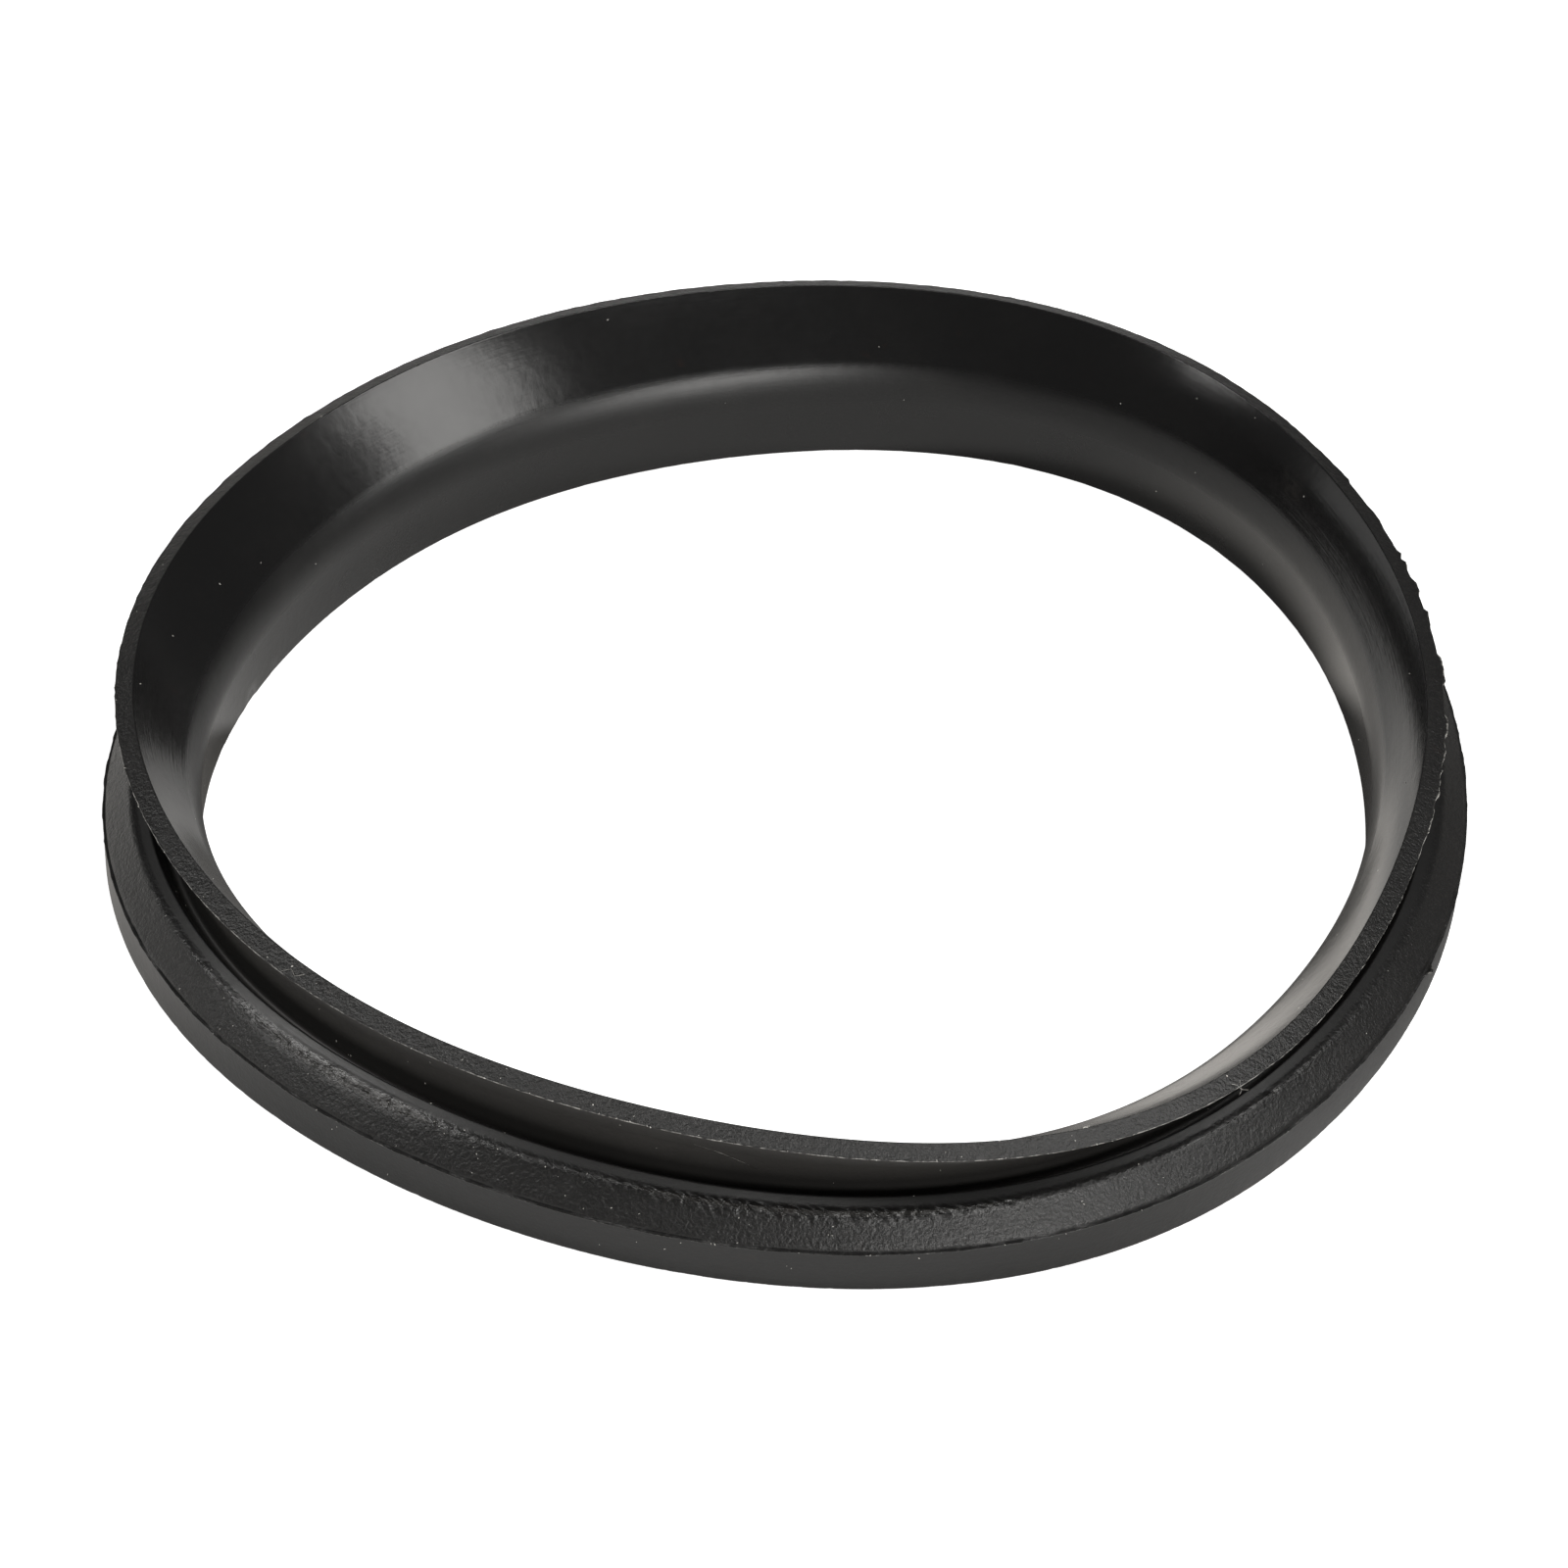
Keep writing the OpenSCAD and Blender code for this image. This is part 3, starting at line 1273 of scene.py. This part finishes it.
    def _feather(self, bench: Bench, moulded: Field, angle: Field, feather: Field) -> Field:
        """The torn feather of flash along the lip's outer edge, which is bitten out on the right.

        Args:
            bench: The tree's bench.
            moulded: Place in the moulded ring.
            angle: Angle from the front.
            feather: 1 at the edge.

        Returns:
            The height of the feather, from about -2 to 2.
        """
        torn = bench.math("MAXIMUM", bench.noise(moulded, self.feather_edge) + 0.25, -0.25)
        bites = bench.spread(moulded, self.bites) + bench.spread(moulded, self.small_bites)
        return (torn + bites * bench.near(angle, self.bitten)) * feather

    def _foot(self, bench: Bench, moulded: Field, angle: Field, foot: Field) -> Field:
        """Wear of the ring's two lower edges, with two deeper nicks.

        Args:
            bench: The tree's bench.
            moulded: Place in the moulded ring.
            angle: Angle from the front.
            foot: 1 at the edge.

        Returns:
            The depth of the wear, from 0 to about 3.
        """
        worn = bench.math("MAXIMUM", bench.noise(moulded, self.foot_patches), 0.0) * self.foot_worn
        first, second = (bench.near(angle, nick) for nick in self.foot_nicks)
        return (worn + (first + second) * self.foot_nick_depth) * foot


@dataclass
class DustFall:
    """Flakes of dust on the faces that look up, most of them along the torn edges at the front."""

    ring: bpy.types.Object
    dust: Dust
    most: float = 700000.0
    smallest: float = 0.05 * MM
    largest: float = 0.18 * MM
    seed: int = 11
    size_seed: int = 3
    shape_seed: int = 5
    turn_seed: int = 8
    flattest: tuple[float, float, float] = (0.7, 0.5, 0.3)
    longest: tuple[float, float, float] = (2.4, 1.0, 0.6)
    front: Stretch = Stretch(-12.0, 75.0)
    patches: Pattern = Pattern(8.0 * MM, 3.0, 0.7, (-0.3, 0.8, 0.15, 1.0))
    on_edges: float = 7.0
    on_grain: Slope = (0.3, 1.0, 0.16, 0.24)
    upward: Slope = (-0.75, 0.5)
    off_floor: Slope = (0.4 * MM, 1.2 * MM)

    def build(self) -> bpy.types.Object:
        """Makes the flakes.

        Returns:
            All the flakes as one mesh.
        """
        piece = new_object("dust_flakes", self.ring.data.copy())
        recipe = Recipe("Dust fall", {
            "Flakes on a square metre": self.most,
            "Smallest": self.smallest,
            "Largest": self.largest,
            "Seed": self.seed,
            "Dust": self.dust.build(),
        })
        self._scatter(recipe)
        mesh = recipe.apply(piece)
        LOG.info("%s: %d faces", piece.name, len(mesh.polygons))
        return piece

    def _where(self, bench: Bench) -> Field:
        """How much dust lies at a place of the ring.

        Args:
            bench: The tree's bench.

        Returns:
            The share of the most dust, which is above 1 on the torn edges.
        """
        moulded = bench.named("moulded")
        x, y, z = bench.parts(moulded)
        _, grain, edge = bench.parts(bench.named("skin"))
        _, _, facing_up = bench.parts(bench.made("GeometryNodeInputNormal"))
        front = bench.near(bench.angle(x, y), self.front) * 0.9 + 0.1
        caught = edge * self.on_edges + bench.ramp(grain, *self.on_grain)
        where = front * bench.spread(moulded, self.patches) * caught
        return where * bench.ramp(facing_up, *self.upward) * bench.ramp(z, *self.off_floor)

    def _scatter(self, recipe: Recipe) -> None:
        """Fills in the tree that scatters the flakes.

        Args:
            recipe: The tree.
        """
        bench = recipe.bench
        density = self._where(bench) * recipe.read("Flakes on a square metre")
        fed = {"Mesh": recipe.read("Geometry"), "Density": density, "Seed": recipe.read("Seed")}
        points = bench.node("GeometryNodeDistributePointsOnFaces", fed)
        flake = bench.node("GeometryNodeMeshIcoSphere", {"Radius": 1.0, "Subdivisions": 1})
        long = self._random(bench, 0.0, 1.0, self.size_seed, "FLOAT")
        low, high = recipe.read("Smallest"), recipe.read("Largest")
        size = low + (high - low) * long * long
        shape = self._random(bench, self.flattest, self.longest, self.shape_seed, "FLOAT_VECTOR")
        fed = {
            "Points": bench.out(points, "Points"),
            "Instance": bench.out(flake, "Mesh"),
            "Rotation": self._random(bench, (0.0,) * 3, (TURN,) * 3, self.turn_seed, "FLOAT_VECTOR"),
            "Scale": bench.vector(*(size * part for part in bench.parts(shape))),
        }
        recipe.finish(bench.made("GeometryNodeInstanceOnPoints", fed), "Dust")

    @staticmethod
    def _random(bench: Bench, least: object, most: object, seed: int, kind: str) -> Field:
        """A random value for each flake.

        Args:
            bench: The tree's bench.
            least: The lowest value.
            most: The highest value.
            seed: The seed.
            kind: The value's type.

        Returns:
            The value as a field.
        """
        fed = {"Min": least, "Max": most, "Seed": seed}
        return bench.made("FunctionNodeRandomValue", fed, data_type=kind)


@dataclass(frozen=True)
class Fibre:
    """A fine fibre of lint on the lip's land.

    Attributes:
        thickness: Its radius, in metres.
        route: Its points, each as an angle from the front in degrees, a share of the way from the land's
            inner edge to its outer edge, and a height over the land in metres.
    """

    thickness: float
    route: tuple[tuple[float, float, float], ...]


LONG_TWIG = ((38.2, 0.65, 0.03 * MM), (38.5, 0.9, 0.22 * MM), (38.7, 1.15, 0.1 * MM), (39.2, 1.35, 0.02 * MM))
SHORT_TWIG = ((39.1, 0.7, 0.03 * MM), (38.8, 0.9, 0.16 * MM), (38.6, 1.2, 0.18 * MM), (38.3, 1.3, 0.02 * MM))
NIB = ((24.6, 0.0, 0.0), (24.8, 0.0, 0.08 * MM), (25.0, 0.02, 0.0))
CURL = ((313.2, 0.9, 0.02 * MM), (313.8, 0.6, 0.12 * MM), (314.5, 0.75, 0.12 * MM), (315.0, 0.4, 0.02 * MM))


@dataclass
class Lint:
    """The fibres that cling to the lip."""

    lie: Lie
    dust: Dust
    steps: int = 24
    sides: int = 6
    fibres: tuple[Fibre, ...] = (
        Fibre(0.015 * MM, LONG_TWIG),
        Fibre(0.012 * MM, SHORT_TWIG),
        Fibre(0.045 * MM, NIB),
        Fibre(0.014 * MM, CURL),
    )

    def build(self) -> bpy.types.Object:
        """Makes the fibres.

        Returns:
            All the fibres as one mesh.
        """
        section = self.lie.section
        inner = section.bore_radius + section.lip_reach
        places, runs = [], []
        for fibre in self.fibres:
            first = len(places)
            for angle, across, lift in fibre.route:
                height = section.height - section.land_drop * across + lift
                places.append(self.lie.place(angle, inner + section.land_width * across, height))
            runs.extend((k, k + 1) for k in range(first, len(places) - 1))
        mesh = bpy.data.meshes.new("lint")
        mesh.from_pydata(places, runs, [])
        radii = [fibre.thickness for fibre in self.fibres for _ in fibre.route]
        mesh.attributes.new("thickness", "FLOAT", "POINT").data.foreach_set("value", radii)
        piece = new_object("lint_fibres", mesh)
        recipe = Recipe("Lint", {"Steps": self.steps, "Sides": self.sides, "Dust": self.dust.build()})
        self._sweep(recipe)
        mesh = recipe.apply(piece)
        LOG.info("%s: %d fibres, %d faces", piece.name, len(self.fibres), len(mesh.polygons))
        return piece

    @staticmethod
    def _sweep(recipe: Recipe) -> None:
        """Fills in the tree that turns the routes into round fibres.

        Args:
            recipe: The tree.
        """
        bench = recipe.bench
        curve = bench.made("GeometryNodeMeshToCurve", {"Mesh": recipe.read("Geometry")})
        bent = bench.made("GeometryNodeCurveSplineType", {"Curve": curve}, spline_type="CATMULL_ROM")
        even = bench.made("GeometryNodeResampleCurve", {"Curve": bent, "Count": recipe.read("Steps")})
        thick = bench.named("thickness", "FLOAT")
        sized = bench.made("GeometryNodeSetCurveRadius", {"Curve": even, "Radius": thick})
        circle = {"Resolution": recipe.read("Sides"), "Radius": 1.0}
        ring = bench.out(bench.node("GeometryNodeCurvePrimitiveCircle", circle), "Curve")
        fed = {"Curve": sized, "Profile Curve": ring, "Scale": thick, "Fill Caps": True}
        recipe.finish(bench.made("GeometryNodeCurveToMesh", fed), "Dust")


@dataclass(frozen=True)
class Softbox:
    """A soft lamp, placed by where the ring sees it.

    Attributes:
        name: What it does.
        side: Angle from the right towards the camera, in degrees.
        rise: Angle over the floor, in degrees.
        brightness: Its radiance, where 1 shows as white.
        width: Its width, in metres.
        height: Its height, in metres.
        distance: Distance from the ring, in metres.
        colour: Its colour.
    """

    name: str
    side: float
    rise: float
    brightness: float
    width: float = 0.30
    height: float = 0.30
    distance: float = 1.3
    colour: Colour = (1.0, 0.988, 0.965)

    WATTS = 4.0

    def build(self) -> None:
        """Makes the lamp, facing the ring."""
        light = bpy.data.lights.new(self.name, "AREA")
        light.shape = "RECTANGLE"
        light.size = self.width
        light.size_y = self.height
        light.color = self.colour
        light.energy = self.WATTS * self.width * self.height * self.brightness
        side, rise = math.radians(self.side), math.radians(self.rise)
        level = math.cos(rise)
        towards = Vector((level * math.cos(side), -level * math.sin(side), math.sin(rise)))
        lamp = new_object(self.name, light)
        lamp.location = towards * self.distance
        lamp.rotation_euler = towards.to_track_quat("Z", "Y").to_euler()


@dataclass(frozen=True)
class Mirrored:
    """What the smooth rubber mirrors of the table, painted for mirrored rays only: a painted glow in the
    ring's hole, and painted shadow close to the ring.
    """

    middle: Slope = (-10.0 * MM, 10.0 * MM)
    left_foot: Slope = (-2.0 * MM, 16.0 * MM, 62.0 * MM, 74.0 * MM)
    right_foot: Slope = (-5.0 * MM, 35.0 * MM, 54.5 * MM, 74.0 * MM)
    foot_blur: Slope = (-2.5 * MM, 2.5 * MM, 1.0, 0.0)
    hole: Slope = (74.0 * MM, 84.0 * MM, 1.0, 0.0)
    hole_shade: float = 0.25
    foot_shade: float = 0.9
    right_shade: Slope = (60.0 * MM, 98.0 * MM, 0.0, 0.85)
    front_across: Slope = (20.0 * MM, 38.0 * MM)
    front_glow: Slope = (0.0, 40.0 * MM, 0.95, 0.0)
    back_ring: Slope = (60.0 * MM, 68.0 * MM)
    back_across: Slope = (30.0 * MM, 50.0 * MM)
    back_glow: Slope = (20.0 * MM, 34.0 * MM, 0.0, 0.55)
    left_glow: Slope = (-95.0 * MM, -60.0 * MM, 0.3, 0.0)
    glow: float = 0.05

    def tones(self, bench: Bench, x: Field, y: Field) -> tuple[Field, Field]:
        """How dark and how bright the mirrored table is.

        Args:
            bench: The material's bench.
            x: Place on the table, to the right.
            y: Place on the table, to the back.

        Returns:
            How much darker the paint is, from 0 to 1, and then how much the table glows.
        """
        radius = bench.radius(x, y)
        left_foot, right_foot = bench.ramp(y, *self.left_foot), bench.ramp(y, *self.right_foot)
        foot = left_foot + (right_foot - left_foot) * bench.ramp(x, *self.middle)
        within = bench.ramp(radius, *self.hole)
        lit = bench.ramp(radius - foot, *self.foot_blur)
        front = bench.ramp(x, *self.front_across) * bench.ramp(y, *self.front_glow)
        back = bench.ramp(radius, *self.back_ring) * bench.ramp(x, *self.back_across)
        back = back * bench.ramp(y, *self.back_glow)
        glow = (front + back) * lit * within + bench.ramp(x, *self.left_glow) + self.glow
        shade = (lit * (self.hole_shade - self.foot_shade) + self.foot_shade) * within
        return bench.math("MAXIMUM", bench.ramp(x, *self.right_shade), shade), glow


@dataclass(frozen=True)
class Table:
    """A white table, which stays white behind the ring and keeps its shadow."""

    mirrored: Mirrored = Mirrored()
    size: float = 6.0
    paint: float = 0.80
    camera_glow: float = 0.78
    warm: Colour = (1.0, 0.94, 0.86)

    def build(self) -> None:
        """Makes the table, as a part of the stage."""
        half = self.size / 2.0
        corners = [(-half, -half, 0.0), (half, -half, 0.0), (half, half, 0.0), (-half, half, 0.0)]
        mesh = bpy.data.meshes.new("table")
        mesh.from_pydata(corners, [], [(0, 1, 2, 3)])
        mesh.materials.append(self._material())
        new_object("table", mesh)

    def _material(self) -> bpy.types.Material:
        """The table's paint, with what only the camera and only the mirroring rubber see of it.

        Returns:
            The material.
        """
        material, bench = new_material("Table")
        path = bench.node("ShaderNodeLightPath")
        seen = [bench.out(path, ray) for ray in ("Is Glossy Ray", "Is Transmission Ray")]
        mirrored = bench.math("MAXIMUM", *seen)
        x, y, _ = bench.parts(bench.out(bench.node("ShaderNodeTexCoord"), "Object"))
        # For mirrored rays only: painted shadow darkens the paint, and a painted glow is added
        shade, glow = self.mirrored.tones(bench, x, y)
        tone = (1.0 - shade * mirrored) * self.paint
        paint = bench.made("ShaderNodeBsdfDiffuse", {"Color": bench.vector(tone, tone, tone)})
        shown = bench.out(path, "Is Camera Ray") * self.camera_glow
        white = bench.made("ShaderNodeEmission", {"Strength": shown})
        warm = bench.made("ShaderNodeEmission", {"Color": (*self.warm, 1.0), "Strength": glow * mirrored})
        both = bench.made("ShaderNodeAddShader", {0: white, 1: warm})
        both = bench.made("ShaderNodeAddShader", {0: paint, 1: both})
        bench.node("ShaderNodeOutputMaterial", {"Surface": both})
        return material


@dataclass(frozen=True)
class Studio:
    """A white table under soft lamps, seen from the photograph's side."""

    lie: Lie
    table: Table = Table()
    tilt: float = 41.08
    roll: float = 3.56
    focal_pixels: float = 9000.0
    image_pixels: float = 1600.0
    distance: float = 1109.4 * MM
    aim: Vector = Vector((-2.45 * MM, 2.50 * MM, 2.87 * MM))
    sensor: float = 36.0
    farthest: float = 20.0
    world_brightness: float = 0.09
    lamps: tuple[Softbox, ...] = (
        Softbox("Key softbox", 11.0, 37.0, 4.5, 0.42, 0.46),
        Softbox("Front softbox", 90.0, 68.0, 6.0),
        Softbox("Low right softbox", 57.0, 22.0, 12.6, 0.56),
        Softbox("High softbox", -15.0, 74.0, 12.0),
        Softbox("Left softbox", 178.0, 50.0, 13.0),
        Softbox("Low left softbox", 165.0, 30.0, 3.0),
        Softbox("Right fill", 0.0, 52.0, 5.0),
        Softbox("Back left softbox", 207.0, 9.0, 0.6, 0.70, 0.36),
    )

    def build(self) -> None:
        """Sets up the table, the lamps, the world and the camera."""
        self.table.build()
        for lamp in self.lamps:
            lamp.build()
        self._world()
        self._camera()
        bpy.context.scene.view_settings.view_transform = "Standard"

    def _world(self) -> None:
        """Gives the room a faint even light."""
        world = bpy.data.worlds.new("Room")
        world.use_nodes = True
        background = world.node_tree.nodes["Background"]
        background.inputs["Color"].default_value = (1.0, 1.0, 1.0, 1.0)
        background.inputs["Strength"].default_value = self.world_brightness
        bpy.context.scene.world = world

    def _camera(self) -> None:
        """Sets the camera at the photograph's viewing angle."""
        scale, shift = self.lie.fit()
        tilt, roll = math.radians(self.tilt), math.radians(self.roll)
        back = Vector((0.0, -math.cos(tilt), math.sin(tilt)))
        level, rise = Vector((1.0, 0.0, 0.0)), Vector((0.0, math.sin(tilt), math.cos(tilt)))
        right = level * math.cos(roll) + rise * math.sin(roll)
        up = rise * math.cos(roll) - level * math.sin(roll)
        camera = bpy.data.cameras.new("Camera")
        camera.sensor_width = self.sensor
        camera.lens = self.sensor * self.focal_pixels / self.image_pixels
        camera.clip_end = self.farthest
        seen_from = new_object("Camera", camera)
        place = shift + (self.aim + back * self.distance) * scale
        axes = Matrix((right, up, back)).transposed().to_4x4()
        seen_from.matrix_world = Matrix.Translation(place) @ axes
        bpy.context.scene.camera = seen_from


def main() -> None:
    """Builds the ring and its studio."""
    logging.basicConfig(level=logging.INFO, format="%(name)s: %(message)s", stream=sys.stdout)
    _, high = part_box(NODE)
    bore = frame["record"]["mounts"][0]["dims"]["r_mm"] * MM
    lie = Lie(RingSection(bore_radius=bore, height=high.z))
    dust = Dust()
    ring = MouldedRing(lie, Rubber()).build()
    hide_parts(NODE)
    for piece in (ring, DustFall(ring, dust).build(), Lint(lie, dust).build()):
        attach(piece, "root")
    Studio(lie).build()


if __name__ == "__main__":
    main()
